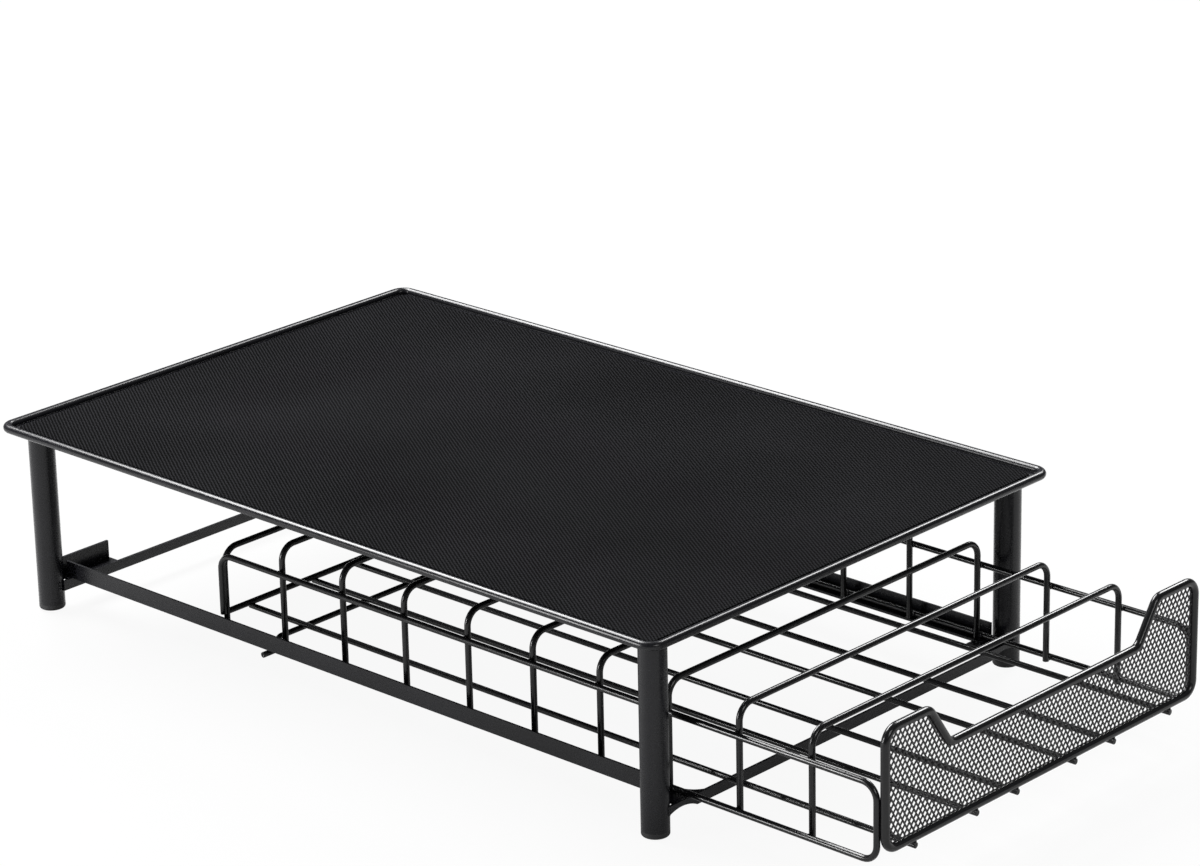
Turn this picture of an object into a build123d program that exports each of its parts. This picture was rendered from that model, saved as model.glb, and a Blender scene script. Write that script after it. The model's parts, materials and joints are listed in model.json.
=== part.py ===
"""Wire drawer for coffee pods under a tray top. Millimetres, +Z up, front towards -Y.

The origin is on the floor, midway between the stand's rear edge and the drawer's front,
with the drawer drawn out by pulled_out. The stand is a tray top on four tube legs, tied by
flat strips and two L-section rails. The drawer is a welded wire basket with an
expanded-metal front, which runs on the rails' flanges.
"""

import os
from math import hypot, sqrt

from build123d import *

os.makedirs("parts", exist_ok=True)

# Tray top
stand_width = 296.8
stand_depth = 460.0
stand_height = 104.0
rim_wire = 4.4
rim_corner = 8.9
mat_recess = 2.3  # mat's upper face below the rim's top
mat_thickness = 1.0
mat_border = 3.6  # sheet left bare round the mat
mat_edge_round = 0.5
sheet_thickness = 1.2

# Legs and feet
leg_diameter = 13.8
leg_wall = 1.2
leg_inset_x = 16.8  # leg axis inside the tray's outer edge
leg_inset_y = 15.4
collar_width = 0.9  # collar's step outside the tube
collar_height = 1.6
foot_height = 3.0
foot_edge_round = 1.2
foot_plug_height = 8.0
foot_plug_gap = 0.1

# Strips between the legs
strip_thickness = 1.4
strip_height = 5.4
strip_clear = 10.0  # floor to the strips' lower edge
strip_end_past = 2.6  # strip's end short of the leg's axis
front_cope = 1.0  # depth of the strip's inner face inside the leg's outline
rear_cope = 0.7
arch_half_width = 10.6
arch_rise = 2.8
arch_from_leg = 10.6  # arch's middle, inwards of the leg's axis

# Rails
rail_thickness = 1.2
rail_height = 8.8
rail_flange = 9.0
rail_leg_gap = 1.5
rail_front_setback = 2.6  # rail's front end behind the front legs' axis
rail_rear_setback = 3.6  # rail's rear end ahead of the rear legs' axis

# Gussets and end stops
gusset_width = 20.6
gusset_depth = 14.5
gusset_lip = 4.0  # reach of the rear edge inside the rail, which stops the anti-tip rod
gusset_hollow = 2.9
stop_width = 34.0
stop_depth = 8.1
stop_rise = 9.5  # upstand above the stop's plate

# Drawer
pulled_out = 111.4  # drawer's front ahead of the tray's front edge
basket_wire = 3.0
floor_wire = 2.8
hoop_pitch = 43.45
hoop_count = 9
hoop_height = 52.9  # foot to the axis of the top run
hoop_bend = 8.0
hoop_foot_lift = 0.6  # hoop's foot above the rail's flange
side_height = 38.0
side_bend = 8.0
side_rear_bend = 12.0
side_overhang = 1.7  # side loop's rear end past the rear loop
side_play = 2.5
rear_height = 35.7
rear_bend = 9.0
floor_lift = 2.4  # floor wires above the side loop's lower run
floor_rear_overhang = 2.2
floor_front_overhang = 1.6
floor_outer_x = 96.5
floor_middle_x = 52.0
floor_inner_x = 22.0

# Drawer front
panel_wire = 4.4
panel_step = 1.85  # panel loop's axis inside the side loop's
panel_height = 58.7
panel_bottom_bend = 7.0
panel_shoulder_outer_bend = 7.5
panel_shoulder_inner_bend = 6.0
notch_depth = 21.1
notch_floor_width = 142.0
notch_slope = 14.5  # run of each sloping side of the notch
notch_bend = 7.0
mesh_thickness = 0.8
mesh_border = 1.6
mesh_strand = 1.5
mesh_pitch_x = 9.0
mesh_pitch_z = 13.0
mesh_least_opening = 8.0  # mm2, smaller clipped openings are left shut

# Anti-tip rod
hook_setback = 34.3  # rod's plane ahead of the rear loop
hook_below_flange = 2.5
hook_reach = 10.0
hook_bend = 3.0

# Clearances
slide_gap = 0.3  # between the drawer and what it runs on
weld_gap = 0.05  # between welded wires' surfaces


def bent_wire(plane, points, bend, diameter, close=False):
    """Round wire swept along straight runs with filleted corners, drawn on a plane."""
    with BuildLine(plane) as run:
        FilletPolyline(*points, radius=bend, close=close)
    with BuildSketch(Plane(origin=run.line @ 0, z_dir=run.line % 0)) as section:
        Circle(diameter / 2)
    sweep(section.sketch, path=run.line)


def save(part, label):
    part.label = label
    export_step(part, f"parts/{label}.step")


# Frame
stand_y = pulled_out / 2
leg_x = stand_width / 2 - leg_inset_x
leg_y = stand_depth / 2 - leg_inset_y
leg_radius = leg_diameter / 2
legs = {
    "front_left": (-leg_x, stand_y - leg_y),
    "front_right": (leg_x, stand_y - leg_y),
    "rear_left": (-leg_x, stand_y + leg_y),
    "rear_right": (leg_x, stand_y + leg_y),
}

# Heights
rim_z = stand_height - rim_wire / 2
mat_top = stand_height - mat_recess
sheet_top = mat_top - mat_thickness
sheet_bottom = sheet_top - sheet_thickness
strip_top = strip_clear + strip_height
rail_bottom = strip_top
flange_top = rail_bottom + rail_thickness
plate_bottom = strip_top - strip_thickness

# Across
rail_outer_x = leg_x - leg_radius - rail_leg_gap
rail_web_x = rail_outer_x - rail_thickness
rail_inner_x = rail_outer_x - rail_flange
side_x = rail_web_x - side_play - basket_wire / 2
hoop_x = side_x - basket_wire - weld_gap
panel_x = side_x - panel_step
hook_x = rail_inner_x - slide_gap - floor_wire / 2

# Drawer heights
runner_z = flange_top + slide_gap + basket_wire / 2
floor_z = runner_z + floor_lift
rear_z = floor_z + (floor_wire + basket_wire) / 2 + weld_gap
panel_z = floor_z + (floor_wire + panel_wire) / 2 + weld_gap
hook_rod_z = floor_z - floor_wire - weld_gap
hook_z = rail_bottom - hook_below_flange - floor_wire / 2
hoop_foot_z = flange_top + hoop_foot_lift
hoop_top_z = hoop_foot_z + hoop_height
side_top_z = runner_z + side_height

# Along
panel_y = stand_y - stand_depth / 2 - pulled_out + panel_wire / 2
rear_y = panel_y + (hoop_count + 1) * hoop_pitch
joint_reach = (panel_wire + basket_wire) / 2 + weld_gap
side_front_y = panel_y + sqrt(joint_reach**2 - panel_step**2)
side_rear_y = rear_y + side_overhang
hook_y = rear_y - hook_setback

# Rim: one wire bent into a rounded rectangle, its ends butted in the middle of the back
rim_half_x = (stand_width - rim_wire) / 2
rim_half_y = (stand_depth - rim_wire) / 2
rim_bend = rim_corner - rim_wire / 2
with BuildPart() as rim_rod:
    bent_wire(
        Plane.XY.offset(rim_z),
        [
            (-rim_half_x, stand_y - rim_half_y),
            (rim_half_x, stand_y - rim_half_y),
            (rim_half_x, stand_y + rim_half_y),
            (-rim_half_x, stand_y + rim_half_y),
        ],
        rim_bend,
        rim_wire,
        close=True,
    )
save(rim_rod.part, "rim_rod")

# Sheet: lies inside the rim, welded along the rod's lower inner side
sheet_rise = rim_z - sheet_top
sheet_inset = sqrt((rim_wire / 2) ** 2 - sheet_rise**2) + weld_gap
sheet_width = 2 * (rim_half_x - sheet_inset)
sheet_depth = 2 * (rim_half_y - sheet_inset)
with BuildPart() as top_sheet:
    with BuildSketch(Plane.XY.offset(sheet_bottom)):
        with Locations((0, stand_y)):
            RectangleRounded(sheet_width, sheet_depth, rim_bend - sheet_inset)
    extrude(amount=sheet_thickness)
save(top_sheet.part, "top_sheet")

# Mat: inside the sheet's border, with its upper edge rounded
with BuildPart() as non_slip_mat:
    with BuildSketch(Plane.XY.offset(sheet_top)):
        with Locations((0, stand_y)):
            Rectangle(sheet_width - 2 * mat_border, sheet_depth - 2 * mat_border)
    extrude(amount=mat_thickness)
    fillet(non_slip_mat.edges().filter_by(Axis.Z), rim_corner / 3)
    fillet(non_slip_mat.faces().sort_by(Axis.Z)[-1].edges(), mat_edge_round)
save(non_slip_mat.part, "non_slip_mat")

# Legs: tubes from the foot caps up to the sheet, with a collar at the top
tube_inner = leg_radius - leg_wall
for corner, (x, y) in legs.items():
    with BuildPart() as leg:
        with BuildSketch(Plane(origin=(x, y, 0), x_dir=(1, 0, 0), z_dir=(0, -1, 0))):
            with BuildLine():
                Polyline(
                    (tube_inner, foot_height),
                    (leg_radius, foot_height),
                    (leg_radius, sheet_bottom - collar_height),
                    (leg_radius + collar_width, sheet_bottom - collar_height),
                    (leg_radius + collar_width, sheet_bottom),
                    (tube_inner, sheet_bottom),
                    close=True,
                )
            make_face()
        revolve(axis=Axis((x, y, 0), (0, 0, 1)))
    save(leg.part, f"leg_{corner}")

# Feet: a cap as wide as the tube with a plug up its bore
for corner, (x, y) in legs.items():
    with BuildPart() as foot:
        with BuildSketch(Plane(origin=(x, y, 0))):
            Circle(leg_radius)
        extrude(amount=foot_height)
        fillet(foot.faces().sort_by(Axis.Z)[0].edges(), foot_edge_round)
        with BuildSketch(Plane(origin=(x, y, foot_height))):
            Circle(tube_inner - foot_plug_gap)
        extrude(amount=foot_plug_height)
    save(foot.part, f"foot_{corner}")

# Strips: flat bars on edge from leg to leg, coped round the tubes, arched beside them
strip_end_x = leg_x - strip_end_past
arch_x = leg_x - arch_from_leg
front_strip_y = stand_y - leg_y - leg_radius + front_cope
rear_strip_y = stand_y + leg_y - leg_radius + rear_cope
with BuildPart() as front_crossbar:
    with BuildSketch(Plane.XZ.offset(-front_strip_y)):
        with Locations((0, strip_clear + strip_height / 2)):
            Rectangle(2 * strip_end_x, strip_height)
        for side in (-1, 1):
            with BuildLine():
                Line(
                    (side * (arch_x - arch_half_width), strip_clear),
                    (side * (arch_x + arch_half_width), strip_clear),
                )
                ThreePointArc(
                    (side * (arch_x - arch_half_width), strip_clear),
                    (side * arch_x, strip_clear + arch_rise),
                    (side * (arch_x + arch_half_width), strip_clear),
                )
            make_face(mode=Mode.SUBTRACT)
    extrude(amount=strip_thickness)
    with BuildSketch():
        with Locations(legs["front_left"], legs["front_right"]):
            Circle(leg_radius + weld_gap)
    extrude(amount=stand_height, mode=Mode.SUBTRACT)
save(front_crossbar.part, "front_crossbar")

with BuildPart() as rear_crossbar:
    with BuildSketch(Plane.XZ.offset(-rear_strip_y)):
        with Locations((0, strip_clear + strip_height / 2)):
            Rectangle(2 * strip_end_x, strip_height)
    extrude(amount=strip_thickness)
    with BuildSketch():
        with Locations(legs["rear_left"], legs["rear_right"]):
            Circle(leg_radius + weld_gap)
    extrude(amount=stand_height, mode=Mode.SUBTRACT)
save(rear_crossbar.part, "rear_crossbar")

# Rails: L sections, the flange inwards and the web upwards, ends on the strips and plates
rail_front_y = stand_y - leg_y + rail_front_setback
rail_rear_y = stand_y + leg_y - rail_rear_setback
for name, side in (("left", -1), ("right", 1)):
    with BuildPart() as rail:
        with BuildSketch(Plane.XZ.offset(-rail_rear_y)):
            with BuildLine():
                Polyline(
                    (side * rail_inner_x, rail_bottom),
                    (side * rail_outer_x, rail_bottom),
                    (side * rail_outer_x, rail_bottom + rail_height),
                    (side * rail_web_x, rail_bottom + rail_height),
                    (side * rail_web_x, flange_top),
                    (side * rail_inner_x, flange_top),
                    close=True,
                )
            make_face()
        extrude(amount=rail_rear_y - rail_front_y)
    save(rail.part, f"rail_{name}")

# Gussets: flat corner plates behind the front strip, hollowed on the inner corner
plate_outer_x = leg_x - leg_radius - 2 * weld_gap
gusset_inner_x = plate_outer_x - gusset_width
gusset_lip_x = rail_inner_x - gusset_lip
gusset_rear_y = front_strip_y + gusset_depth
for name, side in (("left", -1), ("right", 1)):
    with BuildPart() as gusset:
        with BuildSketch(Plane.XY.offset(plate_bottom)):
            with BuildLine():
                Line(
                    (side * gusset_inner_x, front_strip_y),
                    (side * plate_outer_x, front_strip_y),
                )
                Line(
                    (side * plate_outer_x, front_strip_y),
                    (side * plate_outer_x, gusset_rear_y),
                )
                Line(
                    (side * plate_outer_x, gusset_rear_y),
                    (side * gusset_lip_x, gusset_rear_y),
                )
                SagittaArc(
                    (side * gusset_lip_x, gusset_rear_y),
                    (side * gusset_inner_x, front_strip_y),
                    side * gusset_hollow,
                )
            make_face()
        extrude(amount=strip_thickness)
    save(gusset.part, f"front_gusset_{name}")

# End stops: angle plates behind the rear strip, upstand at the back
stop_front_y = rear_strip_y
stop_rear_y = stop_front_y + stop_depth
for name, side in (("left", -1), ("right", 1)):
    with BuildPart() as stop:
        with BuildSketch(Plane.YZ.offset(side * plate_outer_x)):
            with BuildLine():
                Polyline(
                    (stop_front_y, plate_bottom),
                    (stop_rear_y, plate_bottom),
                    (stop_rear_y, strip_top + stop_rise),
                    (stop_rear_y - strip_thickness, strip_top + stop_rise),
                    (stop_rear_y - strip_thickness, strip_top),
                    (stop_front_y, strip_top),
                    close=True,
                )
            make_face()
        extrude(amount=-side * stop_width)
    save(stop.part, f"rear_stop_{name}")

# Drawer front loop: two shoulders and a finger notch between them
panel_plane = Plane.XZ.offset(-panel_y)
shoulder_z = panel_z + panel_height
notch_z = shoulder_z - notch_depth
notch_floor_x = notch_floor_width / 2
notch_top_x = notch_floor_x + notch_slope
panel_points = [
    (-panel_x, panel_z),
    (panel_x, panel_z),
    (panel_x, shoulder_z),
    (notch_top_x, shoulder_z),
    (notch_floor_x, notch_z),
    (-notch_floor_x, notch_z),
    (-notch_top_x, shoulder_z),
    (-panel_x, shoulder_z),
]
panel_bends = [
    panel_bottom_bend,
    panel_bottom_bend,
    panel_shoulder_outer_bend,
    panel_shoulder_inner_bend,
    notch_bend,
    notch_bend,
    panel_shoulder_inner_bend,
    panel_shoulder_outer_bend,
]
with BuildPart() as front_frame:
    bent_wire(panel_plane, panel_points, panel_bends, panel_wire, close=True)
save(front_frame.part, "front_frame")

# Mesh: expanded metal in the loop's plane, strands round staggered diamond openings,
# with a plain edge all round
mesh_half_x = mesh_pitch_x / 2
mesh_half_z = mesh_pitch_z / 2
strand_share = mesh_strand * hypot(mesh_half_x, mesh_half_z) / (2 * mesh_half_x * mesh_half_z)
diamond_x = mesh_half_x * (1 - strand_share)
diamond_z = mesh_half_z * (1 - strand_share)
mesh_columns = int(2 * panel_x / mesh_pitch_x) + 2
mesh_rows = int(panel_height / mesh_pitch_z) + 2
mesh_z = panel_z + panel_height / 2

mesh_plane = panel_plane.offset(-mesh_thickness / 2)

with BuildSketch(mesh_plane) as mesh_outline:
    with BuildLine():
        FilletPolyline(*panel_points, radius=panel_bends, close=True)
    make_face()
    offset(amount=-(panel_wire / 2 + weld_gap), kind=Kind.INTERSECTION)

with BuildSketch(mesh_plane) as mesh_field:
    add(mesh_outline.sketch)
    offset(amount=-mesh_border, kind=Kind.INTERSECTION)

with BuildSketch(mesh_plane) as mesh_openings:
    for shift_x, shift_z in ((0, 0), (mesh_half_x, mesh_half_z)):
        with Locations((shift_x, mesh_z + shift_z)):
            with GridLocations(mesh_pitch_x, mesh_pitch_z, mesh_columns, mesh_rows):
                Polygon((-diamond_x, 0), (0, -diamond_z), (diamond_x, 0), (0, diamond_z))
    add(mesh_field.sketch, mode=Mode.INTERSECT)

openings = [face for face in mesh_openings.faces() if face.area > mesh_least_opening]
with BuildPart() as front_mesh:
    with BuildSketch(mesh_plane):
        add(mesh_outline.sketch)
        add(openings, mode=Mode.SUBTRACT)
    extrude(amount=mesh_thickness)
save(front_mesh.part, "front_mesh")
print("mesh openings", len(openings))

# Side loops: the lower run slides on the rail, the rear lower corner is wider
for name, side in (("left", -1), ("right", 1)):
    with BuildPart() as side_frame:
        bent_wire(
            Plane.YZ.offset(side * side_x),
            [
                (side_front_y, runner_z),
                (side_rear_y, runner_z),
                (side_rear_y, side_top_z),
                (side_front_y, side_top_z),
            ],
            [side_bend, side_rear_bend, side_bend, side_bend],
            basket_wire,
            close=True,
        )
    save(side_frame.part, f"side_frame_{name}")

# Rear loop: stands on the floor wires, between the side loops
with BuildPart() as rear_frame:
    bent_wire(
        Plane.XZ.offset(-rear_y),
        [
            (-hoop_x, rear_z),
            (hoop_x, rear_z),
            (hoop_x, rear_z + rear_height),
            (-hoop_x, rear_z + rear_height),
        ],
        rear_bend,
        basket_wire,
        close=True,
    )
save(rear_frame.part, "rear_frame")

# Hoops: inverted U wires, their legs welded inside the side loops
for number in range(1, hoop_count + 1):
    with BuildPart() as hoop:
        bent_wire(
            Plane.XZ.offset(-(rear_y - number * hoop_pitch)),
            [
                (-hoop_x, hoop_foot_z),
                (-hoop_x, hoop_top_z),
                (hoop_x, hoop_top_z),
                (hoop_x, hoop_foot_z),
            ],
            hoop_bend,
            basket_wire,
        )
    save(hoop.part, f"divider_hoop_{number}")

# Floor wires: straight, from under the front loop to under the rear loop
floor_front_y = panel_y - floor_front_overhang
floor_rear_y = rear_y + floor_rear_overhang
floor_xs = [
    -floor_outer_x,
    -floor_middle_x,
    -floor_inner_x,
    floor_inner_x,
    floor_middle_x,
    floor_outer_x,
]
for number, x in enumerate(floor_xs, start=1):
    with BuildPart() as wire:
        with BuildSketch(Plane.XZ.offset(-floor_rear_y)):
            with Locations((x, floor_z)):
                Circle(floor_wire / 2)
        extrude(amount=floor_rear_y - floor_front_y)
    save(wire.part, f"floor_wire_{number}")

# Anti-tip rod: under the floor wires, its ends bent down and out beneath the flanges
with BuildPart() as anti_tip_rod:
    bent_wire(
        Plane.XZ.offset(-hook_y),
        [
            (-hook_x - hook_reach, hook_z),
            (-hook_x, hook_z),
            (-hook_x, hook_rod_z),
            (hook_x, hook_rod_z),
            (hook_x, hook_z),
            (hook_x + hook_reach, hook_z),
        ],
        hook_bend,
        floor_wire,
    )
save(anti_tip_rod.part, "anti_tip_rod")

# Travel from this position: inwards until the floor wires meet the end stops, outwards
# until the anti-tip rod meets the gussets
travel_in = stop_rear_y - strip_thickness - floor_rear_y - slide_gap
travel_out = hook_y - floor_wire / 2 - gusset_rear_y - slide_gap
print("travel in", round(travel_in, 2), "out", round(travel_out, 2))
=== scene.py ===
import json
from math import cos, hypot, radians, sin, tan

import bpy
from mathutils import Matrix, Vector


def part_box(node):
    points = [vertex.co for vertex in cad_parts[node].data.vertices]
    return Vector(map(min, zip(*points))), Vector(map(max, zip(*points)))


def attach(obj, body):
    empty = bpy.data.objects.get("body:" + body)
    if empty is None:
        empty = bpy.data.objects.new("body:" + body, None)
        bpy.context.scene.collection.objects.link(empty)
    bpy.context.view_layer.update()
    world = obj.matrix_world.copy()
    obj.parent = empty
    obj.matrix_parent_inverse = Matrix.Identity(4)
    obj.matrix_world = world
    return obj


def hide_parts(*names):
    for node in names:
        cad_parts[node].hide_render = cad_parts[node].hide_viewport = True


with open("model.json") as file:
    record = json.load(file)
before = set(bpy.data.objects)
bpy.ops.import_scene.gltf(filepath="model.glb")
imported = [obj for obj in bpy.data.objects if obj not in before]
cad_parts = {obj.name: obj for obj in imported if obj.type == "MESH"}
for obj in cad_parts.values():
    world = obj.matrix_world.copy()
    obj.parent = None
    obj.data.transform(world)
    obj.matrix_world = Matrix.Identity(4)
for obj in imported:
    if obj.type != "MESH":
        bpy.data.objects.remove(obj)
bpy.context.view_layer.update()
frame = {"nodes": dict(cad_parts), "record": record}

nodes = frame["nodes"]
MM = 0.001

# ---------------------------------------------------------------- camera

LENS = 130.5
AZIMUTH = radians(-46.67)
ELEVATION = radians(20.16)
ROLL = radians(-1.25)
AIM = Vector((0.04235, 0.03508, 0.10346))
DISTANCE = 2.22507


def add_camera():
    """Camera at the photograph's place, with its slight roll."""
    back = Vector((sin(AZIMUTH) * cos(ELEVATION), -cos(AZIMUTH) * cos(ELEVATION), sin(ELEVATION)))
    right = (-back).cross(Vector((0, 0, 1))).normalized()
    up = right.cross(-back)
    x_axis = right * cos(ROLL) + up * sin(ROLL)
    y_axis = up * cos(ROLL) - right * sin(ROLL)
    data = bpy.data.cameras.new("camera")
    data.lens = LENS
    data.sensor_width = 36.0
    data.clip_start = 0.05
    data.clip_end = 50.0
    camera = bpy.data.objects.new("camera", data)
    bpy.context.scene.collection.objects.link(camera)
    turn = Matrix((x_axis, y_axis, back)).transposed().to_4x4()
    camera.matrix_world = Matrix.Translation(AIM + back * DISTANCE) @ turn
    bpy.context.scene.camera = camera


# ---------------------------------------------------------------- node helpers


def new_material(name):
    """Node material of this name, and its shader."""
    material = bpy.data.materials.new(name)
    material.use_nodes = True
    return material, material.node_tree.nodes["Principled BSDF"]


def add_node(material, kind, **values):
    """Node of a kind, with attributes by name and input values by socket name."""
    node = material.node_tree.nodes.new(kind)
    for key, value in values.items():
        if key in node.inputs:
            node.inputs[key].default_value = value
        else:
            setattr(node, key, value)
    return node


def link(material, start, end):
    material.node_tree.links.new(start, end)


def object_point(material, turn=(0, 0, 0)):
    """Object coordinates in metres, turned by these angles."""
    place = add_node(material, "ShaderNodeTexCoord")
    mapping = add_node(material, "ShaderNodeMapping", Rotation=turn)
    link(material, place.outputs["Object"], mapping.inputs["Vector"])
    return mapping.outputs["Vector"]


def noise(material, point, scale, detail=2.0, roughness=0.5):
    node = add_node(material, "ShaderNodeTexNoise", Scale=scale, Detail=detail, Roughness=roughness)
    link(material, point, node.inputs["Vector"])
    return node.outputs["Fac"]


def wave(material, point, direction, scale, distortion, detail=2.0, detail_scale=1.0):
    """Soft ribs across one direction."""
    node = add_node(material, "ShaderNodeTexWave", bands_direction=direction, wave_profile="SIN",
                    Scale=scale, Distortion=distortion, Detail=detail)
    node.inputs["Detail Scale"].default_value = detail_scale
    link(material, point, node.inputs["Vector"])
    return node.outputs["Fac"]


def spread(material, value, low, high, start=0.0, end=1.0):
    """Value moved from the range start-end to low-high."""
    node = add_node(material, "ShaderNodeMapRange")
    node.inputs["From Min"].default_value = start
    node.inputs["From Max"].default_value = end
    node.inputs["To Min"].default_value = low
    node.inputs["To Max"].default_value = high
    link(material, value, node.inputs["Value"])
    return node.outputs["Result"]


def maths(material, operation, first, second):
    """Two values or sockets put together by one operation."""
    node = add_node(material, "ShaderNodeMath", operation=operation)
    for socket, value in zip(node.inputs, (first, second)):
        if isinstance(value, (int, float)):
            socket.default_value = value
        else:
            link(material, value, socket)
    return node.outputs["Value"]


def mixed(material, first, first_share, second, second_share):
    """Sum of two sockets, each times its share."""
    return maths(material, "ADD", maths(material, "MULTIPLY", first, first_share),
                 maths(material, "MULTIPLY", second, second_share))


def blend_colours(material, factor, first, second):
    node = add_node(material, "ShaderNodeMix", data_type="RGBA")
    link(material, factor, node.inputs[0])
    node.inputs[6].default_value = (*first, 1)
    node.inputs[7].default_value = (*second, 1)
    return node.outputs[2]


def raise_surface(material, shader, height, distance, strength):
    bump = add_node(material, "ShaderNodeBump", Strength=strength, Distance=distance)
    link(material, height, bump.inputs["Height"])
    link(material, bump.outputs["Normal"], shader.inputs["Normal"])


# ---------------------------------------------------------------- finishes


def powder_coat(name, dark, light, gloss, grain, depth, shine):
    """Baked powder coat: near black, with a fine skin and slightly uneven gloss."""
    material, shader = new_material(name)
    point = object_point(material)
    cloud = noise(material, point, 22.0, 3.0)
    skin = noise(material, point, grain, 1.0)
    colour = blend_colours(material, spread(material, cloud, 0, 1, 0.35, 0.65), dark, light)
    link(material, colour, shader.inputs["Base Color"])
    uneven = mixed(material, cloud, 0.10, skin, 0.10)
    link(material, spread(material, uneven, gloss - 0.06, gloss + 0.06, 0.05, 0.15),
         shader.inputs["Roughness"])
    raise_surface(material, shader, skin, depth, 0.6)
    shader.inputs["Specular IOR Level"].default_value = shine
    return material


def mat_rubber():
    """Matte sheet with a fine slanting rib, crossed by a fainter one and broken up by grain; its
    colour is painted lighter on the raised ribs as a painted highlight, with a faint random cloud
    in the tone.
    """
    material, shader = new_material("mat_rubber")
    point = object_point(material)
    slant = object_point(material, (0, 0, radians(32)))
    ribs = wave(material, slant, "X", 190.0, 1.2, 1.0, 2.0)
    cross_ribs = wave(material, slant, "Y", 130.0, 2.0)
    grain = noise(material, point, 1100.0, 3.0, 0.6)
    cloud = noise(material, point, 9.0)
    height = mixed(material, mixed(material, ribs, 0.6, cross_ribs, 0.25), 1.0, grain, 0.5)
    # Painted highlight: colour lighter where the ribs and grain stand up, as if light caught them,
    # mixed with a faint random cloud
    rib_sheen_and_tone = mixed(material, height, 0.75, cloud, 0.25)
    colour = blend_colours(material, spread(material, rib_sheen_and_tone, 0, 1, 0.5, 0.9),
                           (0.0001, 0.0001, 0.0002), (0.0140, 0.0140, 0.0155))
    link(material, colour, shader.inputs["Base Color"])
    link(material, spread(material, grain, 0.55, 0.75, 0.3, 0.7), shader.inputs["Roughness"])
    raise_surface(material, shader, height, 0.4 * MM, 1.0)
    shader.inputs["Specular IOR Level"].default_value = 0.012
    return material


def foot_plastic():
    """Moulded black plastic with a faint matte grain."""
    material, shader = new_material("foot_plastic")
    point = object_point(material)
    grain = noise(material, point, 1800.0)
    cloud = noise(material, point, 60.0)
    colour = blend_colours(material, spread(material, cloud, 0, 1, 0.3, 0.7),
                           (0.010, 0.010, 0.011), (0.016, 0.016, 0.017))
    link(material, colour, shader.inputs["Base Color"])
    link(material, spread(material, grain, 0.42, 0.56, 0.3, 0.7), shader.inputs["Roughness"])
    raise_surface(material, shader, grain, 0.05 * MM, 0.5)
    return material


# ---------------------------------------------------------------- stage and light

FLOOR_SIZE = 14.0
FLOOR_DROP = 0.5 * MM     # floor below the feet, so that the two don't flicker
FLOOR_GLOW = 0.93         # share of the floor that shines white to the camera
FLOOR_MIRRORED = 0.25     # the same share in reflections
WORLD_LIGHT = 0.16
LIGHT_AIM = (0, 0, 0.05)
# Name, place, width, height and watts
SOFTBOXES = (
    ("overhead", (0.05, 1.35, 1.7), 1.5, 0.8, 100.0),
    ("side", (1.6, 0.2, 1.6), 0.7, 0.9, 40.0),
    ("left", (-1.9, 1.0, 0.42), 0.3, 0.8, 24.0),
    ("front", (-0.6, -2.4, 1.5), 0.9, 0.9, 16.0),
)


def add_stage():
    """Pale paper floor: white to the camera, greyer in reflections, with a faint shadow."""
    bpy.ops.object.select_all(action="DESELECT")
    bpy.ops.mesh.primitive_plane_add(size=FLOOR_SIZE, location=(0, 0, -FLOOR_DROP))
    floor = bpy.context.object
    floor.name = "floor"
    material, shader = new_material("floor_paper")
    grain = noise(material, object_point(material), 3.0)
    colour = blend_colours(material, grain, (0.44, 0.44, 0.44), (0.48, 0.48, 0.48))
    link(material, colour, shader.inputs["Base Color"])
    shader.inputs["Roughness"].default_value = 0.9
    shader.inputs["Specular IOR Level"].default_value = 0.1
    path = add_node(material, "ShaderNodeLightPath")
    share = maths(material, "MAXIMUM",
                  maths(material, "MULTIPLY", path.outputs["Is Camera Ray"], FLOOR_GLOW),
                  maths(material, "MULTIPLY", path.outputs["Is Glossy Ray"], FLOOR_MIRRORED))
    glow = add_node(material, "ShaderNodeEmission")
    mix = add_node(material, "ShaderNodeMixShader")
    link(material, share, mix.inputs[0])
    link(material, shader.outputs[0], mix.inputs[1])
    link(material, glow.outputs[0], mix.inputs[2])
    link(material, mix.outputs[0], material.node_tree.nodes["Material Output"].inputs["Surface"])
    floor.data.materials.append(material)


def add_softbox(name, place, width, height, watts):
    data = bpy.data.lights.new(name, "AREA")
    data.shape = "RECTANGLE"
    data.size = width
    data.size_y = height
    data.energy = watts
    lamp = bpy.data.objects.new(name, data)
    bpy.context.scene.collection.objects.link(lamp)
    lamp.location = place
    lamp.rotation_mode = "QUATERNION"
    lamp.rotation_quaternion = (Vector(LIGHT_AIM) - Vector(place)).to_track_quat("-Z", "Y")


def add_light():
    """Two boxes above, which draw the highlights along the wires, and two fills."""
    for box in SOFTBOXES:
        add_softbox(*box)
    world = bpy.data.worlds.new("studio")
    world.use_nodes = True
    bpy.context.scene.world = world
    tree = world.node_tree
    tree.nodes.clear()
    path = tree.nodes.new("ShaderNodeLightPath")
    dim = tree.nodes.new("ShaderNodeBackground")
    dim.inputs["Color"].default_value = (0.95, 0.97, 1.0, 1)
    dim.inputs["Strength"].default_value = WORLD_LIGHT
    white = tree.nodes.new("ShaderNodeBackground")
    white.inputs["Strength"].default_value = 1.0
    mix = tree.nodes.new("ShaderNodeMixShader")
    out = tree.nodes.new("ShaderNodeOutputWorld")
    tree.links.new(path.outputs["Is Camera Ray"], mix.inputs[0])
    tree.links.new(dim.outputs[0], mix.inputs[1])
    tree.links.new(white.outputs[0], mix.inputs[2])
    tree.links.new(mix.outputs[0], out.inputs["Surface"])


# ---------------------------------------------------------------- the object

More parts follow.
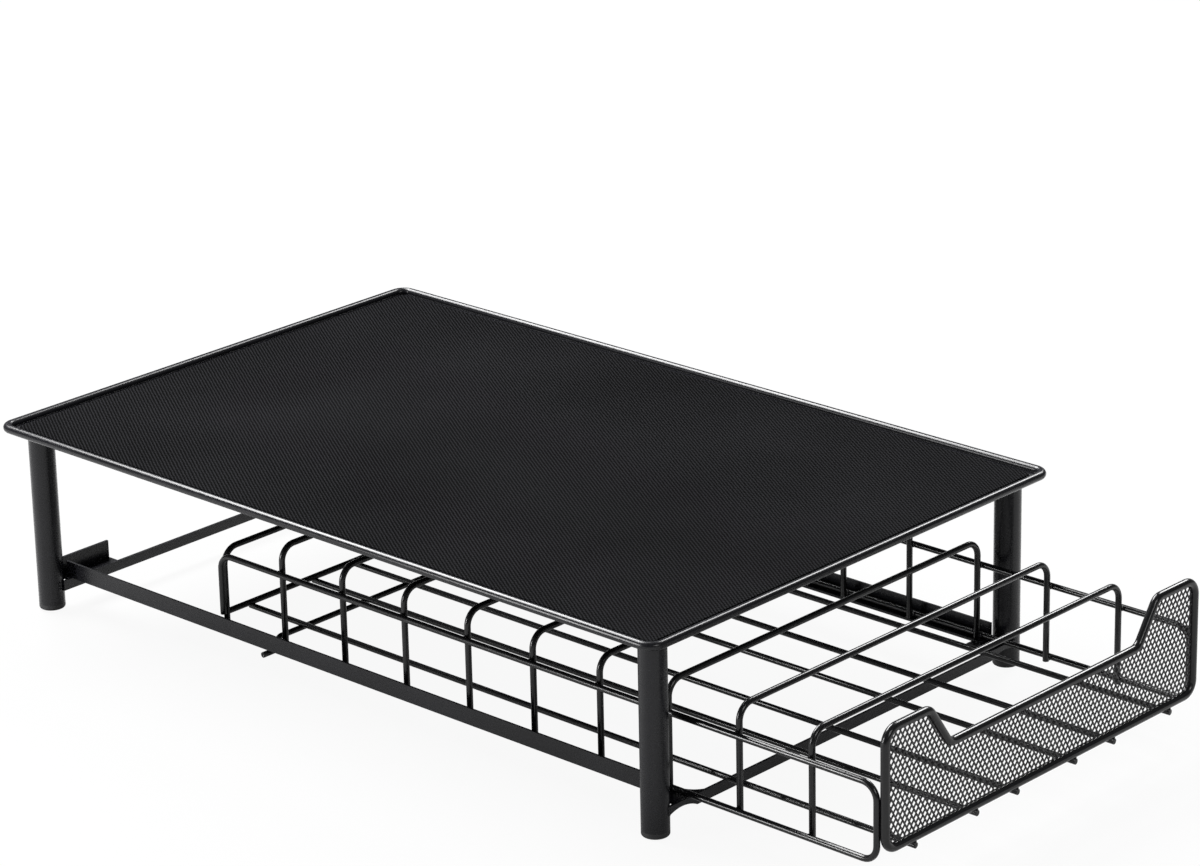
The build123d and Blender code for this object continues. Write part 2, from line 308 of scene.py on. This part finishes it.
FRAME_COAT = powder_coat("frame_coat", (0.004, 0.004, 0.0052), (0.007, 0.007, 0.0092),
                         gloss=0.27, grain=700.0, depth=0.01 * MM, shine=0.36)
WIRE_COAT = powder_coat("wire_coat", (0.003, 0.003, 0.0035), (0.006, 0.006, 0.0065),
                        gloss=0.22, grain=900.0, depth=0.01 * MM, shine=0.42)
NET_COAT = powder_coat("mesh_coat", (0.006, 0.006, 0.0065), (0.012, 0.012, 0.013),
                       gloss=0.26, grain=900.0, depth=0.03 * MM, shine=0.5)
MAT = mat_rubber()
FOOT = foot_plastic()

FINISH = {
    "coated_steel": FRAME_COAT,
    "coated_sheet": FRAME_COAT,
    "coated_wire": WIRE_COAT,
    "coated_mesh": NET_COAT,
    "textured_mat": MAT,
    "foot_plastic": FOOT,
}
SLOT = {part["node"]: part["material_slot"] for part in frame["record"]["subparts"]}


def dress(piece, slot, body):
    """Give a new piece the finish of its slot and the body that it rides on."""
    piece.data.materials.clear()
    piece.data.materials.append(FINISH[slot])
    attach(piece, body)


def pick(piece, faces=(), points=()):
    """Select only these faces or points of the piece, by index, for the next tool."""
    bpy.ops.object.mode_set(mode="EDIT")
    bpy.ops.mesh.select_mode(type="FACE" if faces else "VERT")
    bpy.ops.mesh.select_all(action="DESELECT")
    bpy.ops.object.mode_set(mode="OBJECT")
    for index in faces:
        piece.data.polygons[index].select = True
    for index in points:
        piece.data.vertices[index].select = True
    bpy.ops.object.mode_set(mode="EDIT")


# ---- expanded metal of the drawer front

NET_CELLS = 112           # cells along each side of the blank, which is then turned by 45 degrees
NET_PITCH_X = 3.2 * MM
NET_PITCH_Z = 5.2 * MM
NET_STRAND = 0.42 * MM    # inset of each opening, half of a strand's width
NET_TWIST = 0.26 * MM     # how far an opening's two sides stand out of the net's plane
NET_SIDE = 0.3 * MM       # points further than this from an opening's middle are its sides
NET_BORDER = 0.45 * MM    # diamonds whose middle is nearer to the loop's axis are cut off
NET_THICKNESS = 0.55 * MM

# The front loop's axis: radius of its wire, place, half width, foot, shoulder and notch
LOOP_LOW, LOOP_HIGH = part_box("front_frame")
LOOP_RADIUS = (LOOP_HIGH[1] - LOOP_LOW[1]) / 2
LOOP_Y = (LOOP_HIGH[1] + LOOP_LOW[1]) / 2
LOOP_X = LOOP_HIGH[0] - LOOP_RADIUS
LOOP_FOOT = LOOP_LOW[2] + LOOP_RADIUS
LOOP_SHOULDER = LOOP_HIGH[2] - LOOP_RADIUS
NOTCH_Z = LOOP_SHOULDER - 21.1 * MM
NOTCH_FLOOR_X = 71.0 * MM    # half width at the notch's floor
NOTCH_TOP_X = 85.5 * MM      # half width at the shoulders
LOOP_CORNER = 7.0 * MM       # bend of the loop's outer corners


def inside_loop(x, z, margin):
    """True where a point lies inside the front loop's axis by more than the margin."""
    x = abs(x)
    if x > LOOP_X - margin or z < LOOP_FOOT + margin or z > LOOP_SHOULDER - margin:
        return False
    for corner_z, side in ((LOOP_FOOT + LOOP_CORNER, -1), (LOOP_SHOULDER - LOOP_CORNER, 1)):
        over_x = x - (LOOP_X - LOOP_CORNER)
        over_z = (z - corner_z) * side
        if over_x > 0 and over_z > 0 and hypot(over_x, over_z) > LOOP_CORNER - margin:
            return False
    run = NOTCH_TOP_X - NOTCH_FLOOR_X
    rise = LOOP_SHOULDER - NOTCH_Z
    past_slope = ((x - NOTCH_FLOOR_X) * rise - (z - NOTCH_Z) * run) / hypot(run, rise)
    return z < NOTCH_Z - margin or past_slope > margin


def add_net():
    """Slit and drawn sheet: slanting strands round steep diamond openings."""
    bpy.ops.object.select_all(action="DESELECT")
    bpy.ops.mesh.primitive_grid_add(x_subdivisions=NET_CELLS, y_subdivisions=NET_CELLS,
                                    size=NET_CELLS * MM, location=(0, 0, 0))
    net = bpy.context.object
    net.name = "drawer_net"
    bpy.ops.object.mode_set(mode="EDIT")
    bpy.ops.mesh.select_all(action="SELECT")
    bpy.ops.transform.rotate(value=radians(45), orient_axis="Z", center_override=(0, 0, 0))
    diagonal = MM * 2 ** 0.5
    bpy.ops.transform.resize(value=(NET_PITCH_X / diagonal, NET_PITCH_Z / diagonal, 1),
                             center_override=(0, 0, 0))
    bpy.ops.transform.rotate(value=radians(-90), orient_axis="X", center_override=(0, 0, 0))
    bpy.ops.transform.translate(value=(0, LOOP_Y, (LOOP_FOOT + LOOP_SHOULDER) / 2))
    bpy.ops.object.mode_set(mode="OBJECT")

    outside = [face.index for face in net.data.polygons
               if not inside_loop(face.center.x, face.center.z, NET_BORDER)]
    pick(net, faces=outside)
    bpy.ops.mesh.delete(type="FACE")
    bpy.ops.mesh.select_all(action="SELECT")
    bpy.ops.mesh.inset(thickness=NET_STRAND, use_individual=True)
    bpy.ops.object.mode_set(mode="OBJECT")

    openings = [face for face in net.data.polygons if face.select]
    left, right = [], []
    for face in openings:
        for index in face.vertices:
            across = net.data.vertices[index].co.x - face.center.x
            if across > NET_SIDE:
                right.append(index)
            elif across < -NET_SIDE:
                left.append(index)
    chosen = [face.index for face in openings]
    for points, shift in ((left, NET_TWIST), (right, -NET_TWIST)):
        pick(net, points=points)
        bpy.ops.transform.translate(value=(0, shift, 0))
        bpy.ops.object.mode_set(mode="OBJECT")
    pick(net, faces=chosen)
    bpy.ops.mesh.delete(type="FACE")
    bpy.ops.object.mode_set(mode="OBJECT")

    body = net.modifiers.new("thickness", "SOLIDIFY")
    body.thickness = NET_THICKNESS
    body.offset = 0
    bpy.ops.object.modifier_apply(modifier="thickness")
    dress(net, "coated_mesh", "drawer")
    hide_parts("front_mesh")


# ---- coated wires

WIRE = 3.2 * MM           # basket wire with its coat
CORE_RADIUS = 1.5 * MM    # radius of the same wire in the solids, bare
COAT = 0.1 * MM           # build-up of the coat on the copied wires
RAIL_TOP = 17.0 * MM      # height at which the hoops' legs end
HOOP_DROP = 3.1 * MM      # rear hoop's axis below the solid loop's upper edge
HOOP_BEND = 8.5 * MM
SIDE_BEND = 8.0 * MM
SIDE_INSET = 0.8 * MM     # side loops' upright ahead of the rear hoop's legs
SIDE_GAP = 5.2 * MM       # open end of the upright above the runner
BEND_STEPS = 8
COPY_SMOOTH = radians(35)
SWEPT_SMOOTH = radians(40)


def coated_copy(name, body, build_up):
    """The node's own mesh with its triangles joined, thicker by the build-up, shaded smooth."""
    node = nodes[name]
    bpy.ops.object.select_all(action="DESELECT")
    piece = node.copy()
    piece.data = node.data.copy()
    piece.name = f"{name}_coated"
    bpy.context.scene.collection.objects.link(piece)
    bpy.context.view_layer.objects.active = piece
    piece.select_set(True)
    bpy.ops.object.mode_set(mode="EDIT")
    bpy.ops.mesh.select_all(action="SELECT")
    bpy.ops.mesh.remove_doubles(threshold=0.00001)
    bpy.ops.mesh.normals_make_consistent(inside=False)
    bpy.ops.transform.shrink_fatten(value=build_up, use_even_offset=True)
    bpy.ops.object.mode_set(mode="OBJECT")
    bpy.ops.object.shade_smooth_by_angle(angle=COPY_SMOOTH)
    dress(piece, SLOT[name], body)
    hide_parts(name)


def rounded_path(points, bend):
    """Points of a run of straight lines with each corner turned on a tangent arc."""
    path = [Vector(points[0])]
    for before, corner, after in zip(points, points[1:], points[2:]):
        corner = Vector(corner)
        inwards = (Vector(before) - corner).normalized()
        onwards = (Vector(after) - corner).normalized()
        half = inwards.angle(onwards) / 2
        setback = bend / tan(half)
        centre = corner + (inwards + onwards).normalized() * (bend / sin(half))
        start = corner + inwards * setback - centre
        end = corner + onwards * setback - centre
        sweep = start.angle(end)
        for step in range(BEND_STEPS + 1):
            share = step / BEND_STEPS
            blend = start * sin((1 - share) * sweep) + end * sin(share * sweep)
            path.append(centre + blend / sin(sweep))
    path.append(Vector(points[-1]))
    return path


def bent_wire(name, runs, bend, stands_for):
    """Basket wires swept along rounded runs, closed at their ends, as one piece."""
    curve = bpy.data.curves.new(name, "CURVE")
    curve.dimensions = "3D"
    curve.bevel_depth = WIRE / 2
    curve.bevel_resolution = 5
    curve.use_fill_caps = True
    for points in runs:
        path = rounded_path(points, bend) if len(points) > 2 else [Vector(p) for p in points]
        spline = curve.splines.new("POLY")
        spline.points.add(len(path) - 1)
        for knot, place in zip(spline.points, path):
            knot.co = (*place, 1)
    piece = bpy.data.objects.new(name, curve)
    bpy.context.scene.collection.objects.link(piece)
    bpy.ops.object.select_all(action="DESELECT")
    bpy.context.view_layer.objects.active = piece
    piece.select_set(True)
    bpy.ops.object.convert(target="MESH")
    piece = bpy.context.object
    bpy.ops.object.mode_set(mode="EDIT")
    bpy.ops.mesh.select_all(action="SELECT")
    bpy.ops.mesh.normals_make_consistent(inside=False)
    bpy.ops.object.mode_set(mode="OBJECT")
    bpy.ops.object.shade_smooth_by_angle(angle=SWEPT_SMOOTH)
    dress(piece, "coated_wire", "drawer")
    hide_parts(stands_for)


def add_basket_ends():
    """Rear hoop with its straight cross wire, and side loops open beside the hoop's legs."""
    rear_low, rear_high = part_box("rear_frame")
    rear_y = (rear_low[1] + rear_high[1]) / 2
    leg_x = rear_high[0] - CORE_RADIUS
    cross_z = rear_low[2] + CORE_RADIUS
    top_z = rear_high[2] - HOOP_DROP
    hoop = [(-leg_x, rear_y, RAIL_TOP), (-leg_x, rear_y, top_z), (leg_x, rear_y, top_z),
            (leg_x, rear_y, RAIL_TOP)]
    cross = [(-leg_x, rear_y, cross_z), (leg_x, rear_y, cross_z)]
    bent_wire("rear_hoop", [hoop, cross], HOOP_BEND, "rear_frame")
    for name in ("side_frame_left", "side_frame_right"):
        low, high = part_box(name)
        x = (low[0] + high[0]) / 2
        front_y = low[1] + CORE_RADIUS
        runner_z = low[2] + WIRE / 2
        high_z = high[2] - CORE_RADIUS
        upright_y = rear_y - SIDE_INSET
        loop = [(x, rear_y + WIRE / 2, runner_z), (x, front_y, runner_z), (x, front_y, high_z),
                (x, upright_y, high_z), (x, upright_y, runner_z + SIDE_GAP)]
        bent_wire(f"{name}_open", [loop], SIDE_BEND, name)


# ---- weld beads where the drawer's wires cross and the stand's strips end

HOOP_BEAD = (0.8 * MM, 0.9 * MM, 1.2 * MM)     # half width, depth and height of each bead
FLOOR_BEAD = (0.9 * MM, 1.4 * MM, 0.8 * MM)
STRIP_BEAD = (0.9 * MM, 0.8 * MM, 1.1 * MM)
BESIDE_HOOP = 1.1 * MM      # beads before and behind each hoop's leg
BESIDE_FLOOR = 0.9 * MM     # beads on both sides of each floor wire
STRIP_ROWS = (0.8 * MM, 2.4 * MM, 4.0 * MM)    # below the strip's upper edge
LEG_RADIUS = 6.9 * MM
PAST_LEG = 0.2 * MM         # beads' middle outside the leg's wall


def add_beads(name, places, size, slot, body):
    """Small flattened beads of weld metal, one mesh."""
    parts = []
    for place in places:
        bpy.ops.object.select_all(action="DESELECT")
        bpy.ops.mesh.primitive_uv_sphere_add(segments=14, ring_count=8, radius=1,
                                             location=(0, 0, 0))
        bead = bpy.context.object
        bpy.ops.object.mode_set(mode="EDIT")
        bpy.ops.mesh.select_all(action="SELECT")
        bpy.ops.transform.resize(value=size, center_override=(0, 0, 0))
        bpy.ops.transform.translate(value=place)
        bpy.ops.object.mode_set(mode="OBJECT")
        parts.append(bead)
    bpy.ops.object.select_all(action="DESELECT")
    for bead in parts:
        bead.select_set(True)
    bpy.context.view_layer.objects.active = parts[0]
    bpy.ops.object.join()
    beads = bpy.context.object
    beads.name = name
    bpy.ops.object.shade_smooth()
    dress(beads, slot, body)


def middle_of(name):
    """Middle of a node's box."""
    low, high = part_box(name)
    return [(a + b) / 2 for a, b in zip(low, high)]


def add_drawer_welds():
    """Beads where the hoops meet the side loops and the floor wires meet the front loop."""
    side_low, side_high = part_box("side_frame_right")
    hoop_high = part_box("divider_hoop_1")[1]
    wire = side_high[0] - side_low[0]
    seam_x = (side_low[0] + hoop_high[0]) / 2
    runner_z = side_low[2] + wire / 2
    top_z = side_high[2] - wire / 2
    legs, crossings = [], []
    for number in range(1, 10):
        y = middle_of(f"divider_hoop_{number}")[1]
        for side in (-1, 1):
            for z in (runner_z, top_z):
                for along in (-1, 1):
                    legs.append((side * seam_x, y + along * BESIDE_HOOP, z))
    front_y = middle_of("front_frame")[1]
    for number in range(1, 7):
        x = middle_of(f"floor_wire_{number}")[0]
        floor_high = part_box(f"floor_wire_{number}")[1][2]
        for side in (-1, 1):
            crossings.append((x + side * BESIDE_FLOOR, front_y, floor_high))
    add_beads("hoop_welds", legs, HOOP_BEAD, "coated_wire", "drawer")
    add_beads("floor_wire_welds", crossings, FLOOR_BEAD, "coated_wire", "drawer")


def add_stand_welds():
    """Beads where the strips meet the legs."""
    spots = []
    for corner in ("front_left", "front_right", "rear_left", "rear_right"):
        x, y, _ = middle_of(f"leg_{corner}")
        inwards = -1 if x > 0 else 1
        strip_low, strip_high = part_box("front_crossbar" if "front" in corner else "rear_crossbar")
        strip_y = (strip_low[1] + strip_high[1]) / 2
        reach = max(LEG_RADIUS ** 2 - (strip_y - y) ** 2, 0.0) ** 0.5
        for row in STRIP_ROWS:
            spots.append((x + inwards * (reach + PAST_LEG), strip_y, strip_high[2] - row))
    add_beads("strip_welds", spots, STRIP_BEAD, "coated_steel", "stand")


# ---------------------------------------------------------------- all in order

for name, node in nodes.items():
    node.data.materials.clear()
    node.data.materials.append(FINISH[SLOT[name]])

for number in range(1, 10):
    coated_copy(f"divider_hoop_{number}", "drawer", COAT)
for number in range(1, 7):
    coated_copy(f"floor_wire_{number}", "drawer", COAT)
coated_copy("front_frame", "drawer", 0.0)
coated_copy("anti_tip_rod", "drawer", COAT)
coated_copy("rim_rod", "stand", 0.0)
add_basket_ends()
add_net()
add_drawer_welds()
add_stand_welds()
add_stage()
add_light()
add_camera()

bpy.context.scene.view_settings.view_transform = "Standard"
